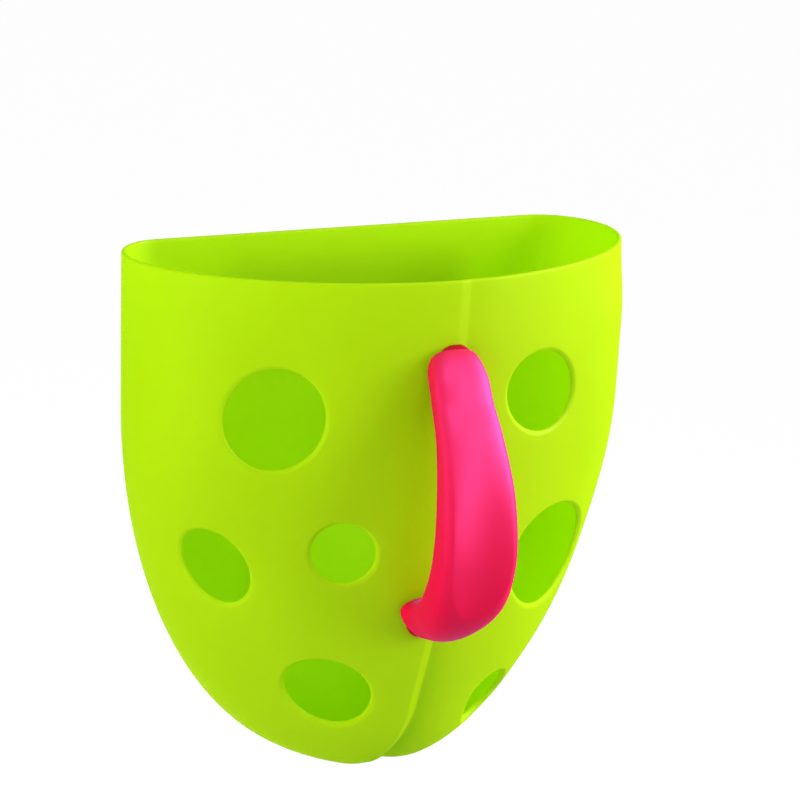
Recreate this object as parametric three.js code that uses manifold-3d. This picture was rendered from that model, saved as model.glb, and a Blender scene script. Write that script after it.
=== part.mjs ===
// Bath toy scoop that hangs on a wall: a lime green moulded pod shaped like folded beetle wings,
// a soft pink handle on its front seam, and a wall plate whose two hooks carry the pod.
// Millimetres. X runs to the right, Y towards the wall, Z up. The wall is the plane Y = 0, and the
// origin lies on it at the middle of the centre adhesive strip.
import * as THREE from "three";
import { mergeVertices } from "three/addons/utils/BufferGeometryUtils.js";
import Module from "manifold-3d";

const wasm = await Module();
wasm.setup();

// Pod: outer sizes at the rim, and where its sides start to round in.
const POD_WIDTH = 240;
const POD_DEPTH = 124;
const POD_HEIGHT = 249;
const POD_WALL = 2.4;
const RIM_ABOVE_ORIGIN = 40;
const RIM_CHAMFER = 0.7;
const CORNER_REACH = 35;
const CORNER_SPREAD = 27;
const SIDE_STRAIGHT_DROP = 80;
const FRONT_STRAIGHT_DROP = 15;

// Shapes of the pod's curves: powers of its rounded outlines, and tapers as shares.
const FRONT_POWER = 1.85;
const SIDE_POWER = 2;
const BELLY_POWER = 3.7;
const WIDTH_TAPER_SHARE = 0.07;
const DEPTH_TAPER_SHARE = 0.21;

// Seam where the left wing laps over the right one.
const SEAM_OFFSET = 6;
const SEAM_DRIFT = 10;
const SEAM_DRIFT_START_SHARE = 0.6;
const GROOVE_DEPTH_TOP = 1;
const GROOVE_DEPTH_BOTTOM = 4.5;
const GROOVE_WIDTH = 18;
const GROOVE_MOST_SHARE = 0.5;
// Across the groove: place as a share of its width, and depth as a share of its depth.
const GROOVE_SHARES = [
  [-0.17, 0],
  [-0.03, 0.3],
  [0.05, 1],
  [0.25, 0.75],
  [0.55, 0.3],
  [0.95, 0],
];

// Drain holes: place across as a share of half the width, place down as a share of the height,
// radii as shares of the largest one's, and the long radius's tilt from level in degrees.
const HOLE_RADIUS = 25;
const HOLE_REACH = 26;
const HOLE_SHARES = [
  { across: -0.622, down: 0.257, long: 1.0, short: 0.94, tilt: 61 },
  { across: -0.759, down: 0.548, long: 0.816, short: 0.632, tilt: -60 },
  { across: -0.348, down: 0.51, long: 0.636, short: 0.612, tilt: -38 },
  { across: -0.325, down: 0.794, long: 0.896, short: 0.724, tilt: -35 },
  { across: 0.434, down: 0.232, long: 0.94, short: 0.776, tilt: -25.5 },
  { across: 0.58, down: 0.569, long: 1.208, short: 1.044, tilt: -21 },
  { across: 0.389, down: 0.854, long: 0.652, short: 0.608, tilt: -54 },
];

// Handle: a bowed bar that leaves the pod near its rim and comes back low on the front.
const HANDLE_TOP_DROP = 40.5;
const HANDLE_SPAN = 120;
const HANDLE_STAND = 38.8;
const HANDLE_WIDTH = 37;
const HANDLE_THICKNESS = 22;
const HANDLE_DISH = 1.6;
const HANDLE_CORNER_POWER = 3;
const GRIP_WALL = 2.2;
const GRIP_STANDOFF = 1.8;
const COLLAR_THICKNESS = 1.4;
const COLLAR_WIDTH_SHARE = 0.8;
// Stations from the upper root to the lower one, each as shares of the four sizes above.
const HANDLE_SHARES = [
  { drop: -0.003, stand: -0.26, width: 0.56, thick: 0.73, dish: 0 },
  { drop: 0.002, stand: 0.013, width: 0.6, thick: 0.73, dish: 0 },
  { drop: 0.046, stand: 0.206, width: 0.69, thick: 0.66, dish: 0 },
  { drop: 0.121, stand: 0.374, width: 0.745, thick: 0.62, dish: 0 },
  { drop: 0.229, stand: 0.593, width: 0.8, thick: 0.68, dish: 0.1 },
  { drop: 0.438, stand: 0.889, width: 0.945, thick: 0.84, dish: 0.7 },
  { drop: 0.662, stand: 1, width: 1, thick: 0.96, dish: 1 },
  { drop: 0.817, stand: 0.825, width: 0.945, thick: 1, dish: 1 },
  { drop: 0.912, stand: 0.541, width: 0.81, thick: 0.91, dish: 0.3 },
  { drop: 0.975, stand: 0.219, width: 0.66, thick: 0.8, dish: 0 },
  { drop: 1, stand: 0.021, width: 0.76, thick: 0.82, dish: 0 },
  { drop: 1.017, stand: -0.206, width: 0.86, thick: 0.86, dish: 0 },
];

// Screws that come from inside the pod into the handle's core.
const SCREW_RADIUS = 1.6;
const SCREW_HEAD_RADIUS = 3.4;
const SCREW_HEAD_HEIGHT = 2.4;
const SCREW_POINT = 1.2;
const UPPER_SCREW_BITE = 5.4;
const LOWER_SCREW_BITE = 8.5;
const BOSS_RADIUS = 5.5;
const BOSS_HEIGHT = 1.6;

// Wall plate, its two hooks, and the strips that stick it to the wall.
const STRIP_WIDTH = 28;
const STRIP_HEIGHT = 38;
const STRIP_THICKNESS = 1.2;
const STRIP_CORNER = 3;
const STRIP_PITCH = 38;
const PLATE_WIDTH = 124;
const PLATE_HEIGHT = 48;
const PLATE_THICKNESS = 3.5;
const PLATE_CORNER = 10;
const HOOK_SPACING = 76;
const HOOK_WIDTH = 22;
const HOOK_HEIGHT = 16;
const HOOK_THICKNESS = 3;
const HOOK_ARM_HEIGHT = 5;
const HOOK_BEVEL = 1;
const SOCKET_WALL = 2.6;

// Small round feet that keep the pod's back off the wall lower down.
const FOOT_RADIUS = 5;
const FOOT_SPREAD_SHARE = 0.33;
const FOOT_DROP_SHARE = 0.66;

// Gaps and overruns.
const SEAT_GAP = 0.3;
const PILOT_GAP = 0.1;
const CUT_OVERRUN = 5;

// How finely the curves are cut.
const POD_RINGS = 20;
const LEFT_WING_STEPS = 15;
const RIGHT_WING_STEPS = 14;
const CORNER_STEPS = 4;
const BACK_STEPS = 6;
const HOLE_STEPS = 14;
const GRIP_RINGS = 34;
const GRIP_SIDES = 20;
const CORE_RINGS = 22;
const CORE_SIDES = 12;
const ROUND_STEPS = 20;

// Places that follow from the sizes above.
const PLATE_FRONT = STRIP_THICKNESS + SEAT_GAP + PLATE_THICKNESS;
const SOCKET_OUTER = PLATE_FRONT + SEAT_GAP;
const HOOK_BACK = SOCKET_OUTER + SOCKET_WALL + SEAT_GAP;
const POD_BACK = HOOK_BACK + HOOK_THICKNESS + SEAT_GAP;
const HOOK_LOW = -HOOK_HEIGHT / 2;
const HOOK_HIGH = HOOK_HEIGHT / 2;

const limeShell = new THREE.MeshStandardMaterial({ color: 0xa4d60f, roughness: 0.38, metalness: 0 });
const pinkGrip = new THREE.MeshStandardMaterial({ color: 0xf6265f, roughness: 0.62, metalness: 0 });
const redCore = new THREE.MeshStandardMaterial({ color: 0xa80f28, roughness: 0.5, metalness: 0 });
const screwSteel = new THREE.MeshStandardMaterial({ color: 0xb9bcc0, roughness: 0.3, metalness: 1 });
const whiteFoam = new THREE.MeshStandardMaterial({ color: 0xf1f1ec, roughness: 0.9, metalness: 0 });

// A closed geometry as a solid that can be cut and joined.
function solidOf(geometry) {
  const bare = geometry.clone();
  bare.deleteAttribute("normal");
  bare.deleteAttribute("uv");
  const merged = mergeVertices(bare);
  return new wasm.Manifold(
    new wasm.Mesh({
      numProp: 3,
      vertProperties: merged.attributes.position.array,
      triVerts: new Uint32Array(merged.index.array),
    }),
  );
}

// A solid as a named mesh.
function meshOf(name, solid, material) {
  const data = solid.getMesh();
  const geometry = new THREE.BufferGeometry();
  geometry.setAttribute("position", new THREE.BufferAttribute(data.vertProperties, 3));
  geometry.setIndex(new THREE.BufferAttribute(data.triVerts, 1));
  geometry.computeVertexNormals();
  const mesh = new THREE.Mesh(geometry, material);
  mesh.name = name;
  return mesh;
}

// A closed skin over a row of rings, each with the same number of points, and a point at each end.
// The rings turn anticlockwise when seen from the far end.
function skinOver(rings, firstEnd, lastEnd) {
  const sides = rings[0].length;
  const points = [...rings.flat(), firstEnd, lastEnd];
  const first = rings.length * sides;
  const last = first + 1;
  const faces = [];
  for (let side = 0; side < sides; side += 1) {
    const next = (side + 1) % sides;
    faces.push(first, next, side);
    faces.push(last, (rings.length - 1) * sides + side, (rings.length - 1) * sides + next);
    for (let ring = 0; ring + 1 < rings.length; ring += 1) {
      const near = ring * sides;
      const far = near + sides;
      faces.push(near + side, near + next, far + next);
      faces.push(near + side, far + next, far + side);
    }
  }
  const geometry = new THREE.BufferGeometry().setFromPoints(points);
  geometry.setIndex(faces);
  return geometry;
}

function middleOf(ring) {
  const middle = new THREE.Vector3();
  ring.forEach((point) => middle.add(point));
  return middle.divideScalar(ring.length);
}

// How much is left of a size at a given drop below the rim: a taper, then a rounded end.
function roundedShare(drop, straight, power, taperShare) {
  const along = THREE.MathUtils.clamp((drop - straight) / (POD_HEIGHT - straight), 0, 1);
  return (1 - (taperShare * drop) / POD_HEIGHT) * (1 - along ** power) ** (1 / power);
}

// The pod's level outline at a drop below the rim, before its wall is taken off.
function outlineAt(drop) {
  const sideShare = roundedShare(drop, SIDE_STRAIGHT_DROP, SIDE_POWER, WIDTH_TAPER_SHARE);
  const frontShare = roundedShare(drop, FRONT_STRAIGHT_DROP, BELLY_POWER, DEPTH_TAPER_SHARE);
  return {
    half: (POD_WIDTH / 2) * sideShare,
    depth: POD_DEPTH * frontShare,
    reach: CORNER_REACH * frontShare,
    spread: CORNER_SPREAD * sideShare,
  };
}

// The same outline drawn in by an inset, or out by a negative one, but never past its middle.
function insetOutline(outline, inset) {
  const half = Math.max(outline.half - inset, outline.half / 4);
  const depth = Math.max(outline.depth - inset, outline.depth / 2);
  const back = Math.min(inset, outline.depth / 4);
  return {
    half,
    depth,
    back,
    reach: Math.max(outline.reach, back),
    spread: Math.max(outline.spread - inset, outline.spread / 4),
  };
}

// How far the front stands from the pod's back plane at a place across the outline.
function frontAt(across, shape) {
  const share = Math.min(Math.abs(across) / shape.half, 1);
  return shape.reach + (shape.depth - shape.reach) * (1 - share ** FRONT_POWER) ** (1 / FRONT_POWER);
}

function seamAt(drop) {
  const along = THREE.MathUtils.smoothstep(drop / POD_HEIGHT, SEAM_DRIFT_START_SHARE, 1);
  return SEAM_OFFSET - SEAM_DRIFT * along;
}

function grooveDepthAt(drop) {
  return THREE.MathUtils.lerp(GROOVE_DEPTH_TOP, GROOVE_DEPTH_BOTTOM, (drop / POD_HEIGHT) ** 2);
}

// Angle on the front's rounded outline at a place across it: half a turn at the left, 0 at the right.
function angleAcross(across, half) {
  const share = THREE.MathUtils.clamp(across / half, -1, 1);
  return Math.acos(Math.sign(share) * Math.abs(share) ** (FRONT_POWER / 2));
}

function frontPoint(angle, shape) {
  const across = Math.sign(Math.cos(angle)) * Math.abs(Math.cos(angle)) ** (2 / FRONT_POWER);
  return [shape.half * across, frontAt(shape.half * across, shape)];
}

// One ring of the pod as [across, out from the back plane, groove depth] from the left side round
// the front to the right side, then round the back.
function ringOutline(drop, inset, withGroove) {
  const shape = insetOutline(outlineAt(drop), inset);
  const grooveWidth = Math.min(GROOVE_WIDTH, shape.half * GROOVE_MOST_SHARE);
  const seam = THREE.MathUtils.clamp(seamAt(drop), -shape.half / 4, shape.half / 4);
  const groove = GROOVE_SHARES.map(([place, depth]) => {
    const across = seam + place * grooveWidth;
    const sunk = withGroove ? depth * grooveDepthAt(drop) : 0;
    return [across, frontAt(across, shape), sunk];
  });
  const leftEnd = angleAcross(groove[0][0], shape.half);
  const rightStart = angleAcross(groove[groove.length - 1][0], shape.half);
  const outline = [];
  for (let step = 0; step < LEFT_WING_STEPS; step += 1) {
    const angle = THREE.MathUtils.lerp(Math.PI, leftEnd, step / LEFT_WING_STEPS);
    outline.push([...frontPoint(angle, shape), 0]);
  }
  outline.push(...groove);
  for (let step = 1; step <= RIGHT_WING_STEPS; step += 1) {
    const angle = THREE.MathUtils.lerp(rightStart, 0, step / RIGHT_WING_STEPS);
    outline.push([...frontPoint(angle, shape), 0]);
  }
  const flat = shape.half - shape.spread;
  const corner = (side, turn) => [
    side * (flat + shape.spread * Math.cos(turn)),
    shape.reach - (shape.reach - shape.back) * Math.sin(turn),
    0,
  ];
  for (let step = 1; step <= CORNER_STEPS; step += 1) {
    outline.push(corner(1, (step / CORNER_STEPS) * (Math.PI / 2)));
  }
  for (let step = 1; step < BACK_STEPS; step += 1) {
    outline.push([THREE.MathUtils.lerp(flat, -flat, step / BACK_STEPS), shape.back, 0]);
  }
  for (let step = CORNER_STEPS; step > 0; step -= 1) {
    outline.push(corner(-1, (step / CORNER_STEPS) * (Math.PI / 2)));
  }
  return outline;
}

// A ring of the pod in place. The groove sinks into the wall, and lifts the underside low down.
function podRing(drop, height, inset, withGroove) {
  return ringOutline(drop, inset, withGroove).map(([across, out, sunk]) => {
    const lift = sunk * (drop / POD_HEIGHT) ** 8;
    return new THREE.Vector3(across, -(POD_BACK + out - sunk), height + lift);
  });
}

// The solid inside the pod's outer skin, drawn in by an inset, or out by a negative one.
function podSolid(inset, withGroove, overrun) {
  const tall = POD_HEIGHT - inset;
  const heightAt = (drop) => RIM_ABOVE_ORIGIN - (drop / POD_HEIGHT) * tall;
  const rings = [];
  if (overrun > 0) {
    rings.push(podRing(0, RIM_ABOVE_ORIGIN + overrun, inset - overrun, withGroove));
    rings.push(podRing(0, RIM_ABOVE_ORIGIN, inset - RIM_CHAMFER, withGroove));
  } else {
    rings.push(podRing(0, RIM_ABOVE_ORIGIN, inset + RIM_CHAMFER, withGroove));
  }
  rings.push(podRing(RIM_CHAMFER, heightAt(RIM_CHAMFER), inset, withGroove));
  for (let ring = 1; ring < POD_RINGS; ring += 1) {
    const drop = POD_HEIGHT * Math.sin((ring / POD_RINGS) * (Math.PI / 2));
    rings.push(podRing(drop, heightAt(drop), inset, withGroove));
  }
  const lowest = middleOf(rings[rings.length - 1]);
  lowest.z = heightAt(POD_HEIGHT);
  const highest = middleOf(rings[0]);
  rings.reverse();
  return solidOf(skinOver(rings, lowest, highest));
}

// A point of the pod's smooth front, and the direction square to it.
function frontSurface(across, drop) {
  return new THREE.Vector3(across, -(POD_BACK + frontAt(across, outlineAt(drop))), RIM_ABOVE_ORIGIN - drop);
}

function frontNormal(across, drop) {
  const step = POD_WALL / 4;
  const sideways = frontSurface(across + step, drop).sub(frontSurface(across - step, drop));
  const downwards = frontSurface(across, drop + step).sub(frontSurface(across, drop - step));
  return downwards.cross(sideways).normalize();
}

// The oval plug that cuts one drain hole square to the front.
function drainPlug({ across, down, long, short, tilt }) {
  const place = [(across * POD_WIDTH) / 2, down * POD_HEIGHT];
  const out = frontNormal(...place);
  const level = new THREE.Vector3(-out.y, out.x, 0).normalize();
  const rising = new THREE.Vector3().crossVectors(out, level);
  const oval = new THREE.Shape();
  const turn = THREE.MathUtils.degToRad(tilt);
  oval.absellipse(0, 0, long * HOLE_RADIUS, short * HOLE_RADIUS, 0, Math.PI * 2, false, turn);
  const plug = new THREE.ExtrudeGeometry(oval, {
    depth: 2 * HOLE_REACH,
    curveSegments: HOLE_STEPS,
    bevelEnabled: false,
  });
  plug.translate(0, 0, -HOLE_REACH);
  plug.applyMatrix4(new THREE.Matrix4().makeBasis(level, rising, out));
  plug.translate(...frontSurface(...place));
  return solidOf(plug);
}

// A round bar along Y between two distances from the wall.
function barAlongY(radius, near, far, across, height) {
  const bar = new THREE.CylinderGeometry(radius, radius, far - near, ROUND_STEPS);
  bar.translate(across, -(near + far) / 2, height);
  return solidOf(bar);
}

function boxBetween(low, high) {
  const box = new THREE.BoxGeometry(high.x - low.x, high.y - low.y, high.z - low.z);
  box.translate((low.x + high.x) / 2, (low.y + high.y) / 2, (low.z + high.z) / 2);
  return solidOf(box);
}

// Where each handle screw sits: its drop below the rim, and the places it passes on its way out.
// The wall leans in below the screw, so the head's seat is taken from the wall at the head's lower edge.
function screwPlace(drop, bite) {
  const skin = POD_BACK + frontAt(0, outlineAt(drop));
  const leaningSkin = POD_BACK + frontAt(0, outlineAt(drop + SCREW_HEAD_RADIUS));
  return {
    height: RIM_ABOVE_ORIGIN - drop,
    seat: leaningSkin - POD_WALL - BOSS_HEIGHT,
    skin,
    tip: skin + SEAT_GAP + bite,
  };
}

const UPPER_SCREW = screwPlace(HANDLE_TOP_DROP, UPPER_SCREW_BITE);
const LOWER_SCREW = screwPlace(HANDLE_TOP_DROP + HANDLE_SPAN, LOWER_SCREW_BITE);

// One downward facing socket on the pod's back that drops over a hook.
function hookSocket(across) {
  const halfHollow = HOOK_WIDTH / 2 + SEAT_GAP;
  const halfBlock = halfHollow + SOCKET_WALL;
  const low = HOOK_LOW + HOOK_ARM_HEIGHT + SEAT_GAP;
  const roof = HOOK_HIGH + SEAT_GAP;
  const block = boxBetween(
    new THREE.Vector3(across - halfBlock, -(POD_BACK + POD_WALL / 2), low),
    new THREE.Vector3(across + halfBlock, -SOCKET_OUTER, roof + SOCKET_WALL),
  );
  const hollow = boxBetween(
    new THREE.Vector3(across - halfHollow, -POD_BACK, low - CUT_OVERRUN),
    new THREE.Vector3(across + halfHollow, -(SOCKET_OUTER + SOCKET_WALL), roof),
  );
  return block.subtract(hollow);
}

function scoopShell() {
  const outer = podSolid(0, true, 0);
  let shell = outer.subtract(podSolid(POD_WALL, true, CUT_OVERRUN));
  [UPPER_SCREW, LOWER_SCREW].forEach(({ seat, skin, height }) => {
    const boss = barAlongY(BOSS_RADIUS, seat, skin + CUT_OVERRUN, 0, height);
    const passage = barAlongY(SCREW_RADIUS + SEAT_GAP, seat - CUT_OVERRUN, skin + CUT_OVERRUN, 0, height);
    const headRoom = barAlongY(SCREW_HEAD_RADIUS + SEAT_GAP, seat - CUT_OVERRUN, seat, 0, height);
    shell = shell.add(boss.intersect(outer)).subtract(passage).subtract(headRoom);
  });
  HOLE_SHARES.forEach((hole) => {
    shell = shell.subtract(drainPlug(hole));
  });
  [-1, 1].forEach((side) => {
    const footAcross = side * FOOT_SPREAD_SHARE * (POD_WIDTH / 2);
    const footHeight = RIM_ABOVE_ORIGIN - FOOT_DROP_SHARE * POD_HEIGHT;
    shell = shell.add(hookSocket((side * HOOK_SPACING) / 2));
    shell = shell.add(barAlongY(FOOT_RADIUS, SEAT_GAP, POD_BACK + POD_WALL / 2, footAcross, footHeight));
  });
  return meshOf("scoop_shell", shell, limeShell);
}

// The bowed bar, drawn in by an inset. Its sections are rounded oblongs square to its centre line.
function handleBar(inset, widthShare, ringCount, sideCount) {
  const line = new THREE.CatmullRomCurve3(
    HANDLE_SHARES.map(({ drop, stand }) => {
      const down = HANDLE_TOP_DROP + drop * HANDLE_SPAN;
      const out = POD_BACK + frontAt(0, outlineAt(down)) + stand * HANDLE_STAND;
      return new THREE.Vector3(0, -out, RIM_ABOVE_ORIGIN - down);
    }),
  );
  const sizes = new THREE.CatmullRomCurve3(
    HANDLE_SHARES.map(
      ({ width, thick, dish }) =>
        new THREE.Vector3(width * HANDLE_WIDTH, thick * HANDLE_THICKNESS, dish * HANDLE_DISH),
    ),
  );
  const rings = [];
  for (let ring = 0; ring <= ringCount; ring += 1) {
    const along = ring / ringCount;
    const centre = line.getPoint(along);
    const tangent = line.getTangent(along);
    const outward = new THREE.Vector3(0, tangent.z, -tangent.y);
    const size = sizes.getPoint(along);
    const halfWidth = (size.x * widthShare) / 2 - inset;
    const halfThick = size.y / 2 - inset;
    const points = [];
    for (let side = 0; side < sideCount; side += 1) {
      const turn = (side / sideCount) * Math.PI * 2;
      const across = Math.sign(Math.cos(turn)) * Math.abs(Math.cos(turn)) ** (2 / HANDLE_CORNER_POWER);
      const rise = Math.sign(Math.sin(turn)) * Math.abs(Math.sin(turn)) ** (2 / HANDLE_CORNER_POWER);
      const sunk = rise > 0 ? size.z * rise * (1 - across ** 2) : 0;
      const point = centre.clone().addScaledVector(outward, rise * halfThick - sunk);
      point.x = across * halfWidth;
      points.push(point);
    }
    rings.push(points);
  }
  return solidOf(skinOver(rings, middleOf(rings[0]), middleOf(rings[rings.length - 1])));
}

function screwPassages(gap) {
  return [UPPER_SCREW, LOWER_SCREW].map(({ skin, tip, height }) =>
    barAlongY(SCREW_RADIUS + gap, skin - CUT_OVERRUN, tip + SEAT_GAP, 0, height),
  );
}

// The stiff core: a bar with a flat collar at each root, and a blind hole for each screw.
function handleCore() {
  const seat = podSolid(-SEAT_GAP, false, 0);
  const root = handleBar(0, COLLAR_WIDTH_SHARE, CORE_RINGS, CORE_SIDES);
  const collars = root.intersect(podSolid(-COLLAR_THICKNESS, false, 0));
  let core = handleBar(GRIP_WALL, 1, CORE_RINGS, CORE_SIDES).add(collars).subtract(seat);
  screwPassages(PILOT_GAP).forEach((hole) => {
    core = core.subtract(hole);
  });
  return meshOf("handle_core", core, redCore);
}

// The soft grip: a sleeve moulded round the core, with its ends just clear of the collars.
function handleGrip() {
  const bore = handleBar(GRIP_WALL - SEAT_GAP, 1, CORE_RINGS, CORE_SIDES);
  const sleeve = handleBar(0, 1, GRIP_RINGS, GRIP_SIDES).subtract(bore);
  return meshOf("handle_grip", sleeve.subtract(podSolid(-GRIP_STANDOFF, false, 0)), pinkGrip);
}

// A pan head screw, turned about its axis, with its point towards the handle.
function handleScrew(name, { seat, tip, height }) {
  const under = seat - SEAT_GAP;
  const profile = [
    new THREE.Vector2(0, under - SCREW_HEAD_HEIGHT),
    new THREE.Vector2(SCREW_HEAD_RADIUS * 0.6, under - SCREW_HEAD_HEIGHT),
    new THREE.Vector2(SCREW_HEAD_RADIUS, under - SCREW_HEAD_HEIGHT / 2),
    new THREE.Vector2(SCREW_HEAD_RADIUS, under),
    new THREE.Vector2(SCREW_RADIUS, under),
    new THREE.Vector2(SCREW_RADIUS, tip - SCREW_POINT),
    new THREE.Vector2(0, tip),
  ];
  const turned = new THREE.LatheGeometry(profile, ROUND_STEPS);
  turned.rotateX(Math.PI);
  turned.translate(0, 0, height);
  return meshOf(name, solidOf(turned), screwSteel);
}

// A slab with rounded corners that lies flat against the wall side, between two distances from it.
function roundedSlab(width, height, corner, near, far, across) {
  const outline = new THREE.Shape();
  const x = width / 2;
  const z = height / 2;
  outline.moveTo(-x + corner, -z);
  outline.lineTo(x - corner, -z);
  outline.absarc(x - corner, -z + corner, corner, -Math.PI / 2, 0, false);
  outline.absarc(x - corner, z - corner, corner, 0, Math.PI / 2, false);
  outline.absarc(-x + corner, z - corner, corner, Math.PI / 2, Math.PI, false);
  outline.absarc(-x + corner, -z + corner, corner, Math.PI, Math.PI * 1.5, false);
  const slab = new THREE.ExtrudeGeometry(outline, {
    depth: far - near,
    curveSegments: 6,
    bevelEnabled: false,
  });
  slab.rotateX(Math.PI / 2);
  slab.translate(across, -near, 0);
  return solidOf(slab);
}

// One hook: an arm out of the plate that turns up into a tongue with bevelled tip edges.
function plateHook(across) {
  const front = HOOK_BACK + HOOK_THICKNESS;
  const profile = new THREE.Shape();
  profile.moveTo(PLATE_FRONT - PLATE_THICKNESS / 2, HOOK_LOW);
  profile.lineTo(front - HOOK_BEVEL, HOOK_LOW);
  profile.lineTo(front, HOOK_LOW + HOOK_BEVEL);
  profile.lineTo(front, HOOK_HIGH - HOOK_BEVEL);
  profile.lineTo(front - HOOK_BEVEL, HOOK_HIGH);
  profile.lineTo(HOOK_BACK + HOOK_BEVEL, HOOK_HIGH);
  profile.lineTo(HOOK_BACK, HOOK_HIGH - HOOK_BEVEL);
  profile.lineTo(HOOK_BACK, HOOK_LOW + HOOK_ARM_HEIGHT);
  profile.lineTo(PLATE_FRONT - PLATE_THICKNESS / 2, HOOK_LOW + HOOK_ARM_HEIGHT);
  const hook = new THREE.ExtrudeGeometry(profile, { depth: HOOK_WIDTH, bevelEnabled: false });
  const sideways = new THREE.Matrix4().makeBasis(
    new THREE.Vector3(0, -1, 0),
    new THREE.Vector3(0, 0, 1),
    new THREE.Vector3(-1, 0, 0),
  );
  hook.applyMatrix4(sideways);
  hook.translate(across + HOOK_WIDTH / 2, 0, 0);
  return solidOf(hook);
}

function wallPlate() {
  let plate = roundedSlab(PLATE_WIDTH, PLATE_HEIGHT, PLATE_CORNER, PLATE_FRONT - PLATE_THICKNESS, PLATE_FRONT, 0);
  [-1, 1].forEach((side) => {
    plate = plate.add(plateHook((side * HOOK_SPACING) / 2));
  });
  return meshOf("wall_plate", plate, limeShell);
}

function adhesiveStrip(name, across) {
  const strip = roundedSlab(STRIP_WIDTH, STRIP_HEIGHT, STRIP_CORNER, 0, STRIP_THICKNESS, across);
  return meshOf(name, strip, whiteFoam);
}

const scoop = new THREE.Group();
scoop.add(
  scoopShell(),
  handleCore(),
  handleGrip(),
  handleScrew("handle_screw_upper", UPPER_SCREW),
  handleScrew("handle_screw_lower", LOWER_SCREW),
);

const wallMount = new THREE.Group();
wallMount.add(
  wallPlate(),
  adhesiveStrip("adhesive_strip_left", -STRIP_PITCH),
  adhesiveStrip("adhesive_strip_centre", 0),
  adhesiveStrip("adhesive_strip_right", STRIP_PITCH),
);

const organizer = new THREE.Group();
organizer.add(scoop, wallMount);

export default organizer;
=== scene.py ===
import math

import bmesh
import bpy
from mathutils import Matrix, Vector
from mathutils.geometry import delaunay_2d_cdt


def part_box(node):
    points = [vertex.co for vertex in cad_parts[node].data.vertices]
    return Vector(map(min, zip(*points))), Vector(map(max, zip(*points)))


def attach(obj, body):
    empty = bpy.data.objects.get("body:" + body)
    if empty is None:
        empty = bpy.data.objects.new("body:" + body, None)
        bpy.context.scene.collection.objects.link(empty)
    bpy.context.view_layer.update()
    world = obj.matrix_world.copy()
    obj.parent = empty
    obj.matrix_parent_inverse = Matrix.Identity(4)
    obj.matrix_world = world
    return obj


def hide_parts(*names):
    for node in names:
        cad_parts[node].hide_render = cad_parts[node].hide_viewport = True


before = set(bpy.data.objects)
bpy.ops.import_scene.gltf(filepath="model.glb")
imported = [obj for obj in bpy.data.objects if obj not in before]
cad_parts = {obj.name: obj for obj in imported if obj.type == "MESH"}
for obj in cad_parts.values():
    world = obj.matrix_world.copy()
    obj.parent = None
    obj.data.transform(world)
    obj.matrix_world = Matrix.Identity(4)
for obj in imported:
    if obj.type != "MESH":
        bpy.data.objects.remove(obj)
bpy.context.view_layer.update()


# The camera stands two metres in front of the pod, to its left and a little above it, with a long lens.
# It leans one and a half degrees, so that the rim runs slightly uphill as it does in the picture.
camera_turn = math.radians(-24.95)
camera_rise = math.radians(13.84)
camera_lean = math.radians(1.54)
camera_away = 2.00038
camera_target = Vector((0.0, -0.0715, -0.0800))
camera_slide = 0.00436
camera_lift = 0.04994
lens_in_pixels = 4386.19
picture_in_pixels = 800
film_width = 36.0

scene = bpy.context.scene
towards_camera = Vector((
    math.sin(camera_turn) * math.cos(camera_rise),
    -math.cos(camera_turn) * math.cos(camera_rise),
    math.sin(camera_rise),
))
level_right = (-towards_camera).cross(Vector((0.0, 0.0, 1.0))).normalized()
level_up = level_right.cross(-towards_camera)
leaning_right = level_right * math.cos(camera_lean) + level_up * math.sin(camera_lean)
leaning_up = level_up * math.cos(camera_lean) - level_right * math.sin(camera_lean)
camera_axes = Matrix((leaning_right, leaning_up, towards_camera)).transposed().to_4x4()
camera_place = camera_target + towards_camera * camera_away
camera_place += leaning_right * camera_slide + leaning_up * camera_lift

camera_data = bpy.data.cameras.new("camera")
camera_data.sensor_width = film_width
camera_data.lens = film_width * lens_in_pixels / picture_in_pixels
camera_data.clip_start = 0.1
camera_data.clip_end = 60.0
camera = bpy.data.objects.new("camera", camera_data)
camera.matrix_world = Matrix.Translation(camera_place) @ camera_axes
scene.collection.objects.link(camera)
scene.camera = camera
scene.view_settings.view_transform = "Standard"


# The studio: a wide pale floor well below the hanging pod, and a white surround.
# The floor keeps the pod's soft shadow and otherwise looks as white as the paper behind the picture.
MM = 0.001


def mesh_piece(name, points, faces, material, smooth=True):
    """An object in metres from points in millimetres, with its faces turned outwards."""
    shape = bpy.data.meshes.new(name)
    shape.from_pydata([Vector(point) * MM for point in points], [], faces)
    work = bmesh.new()
    work.from_mesh(shape)
    bmesh.ops.remove_doubles(work, verts=work.verts, dist=1e-7)
    bmesh.ops.recalc_face_normals(work, faces=work.faces)
    work.to_mesh(shape)
    work.free()
    shape.polygons.foreach_set("use_smooth", [smooth] * len(shape.polygons))
    shape.materials.append(material)
    piece = bpy.data.objects.new(name, shape)
    scene.collection.objects.link(piece)
    return piece


def node_maker(tree):
    """A maker of nodes in an emptied tree, and a joiner of their sockets."""
    tree.nodes.clear()

    def add(kind, **settings):
        node = tree.nodes.new(kind)
        for key, value in settings.items():
            if hasattr(node, key):
                setattr(node, key, value)
            else:
                node.inputs[key.replace("_", " ")].default_value = value
        return node

    return add, tree.links.new


def new_material(name):
    """An empty node material, its output node, and a maker and a joiner of further nodes in it."""
    material = bpy.data.materials.new(name)
    material.use_nodes = True
    add, link = node_maker(material.node_tree)
    return material, add("ShaderNodeOutputMaterial"), add, link


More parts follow.
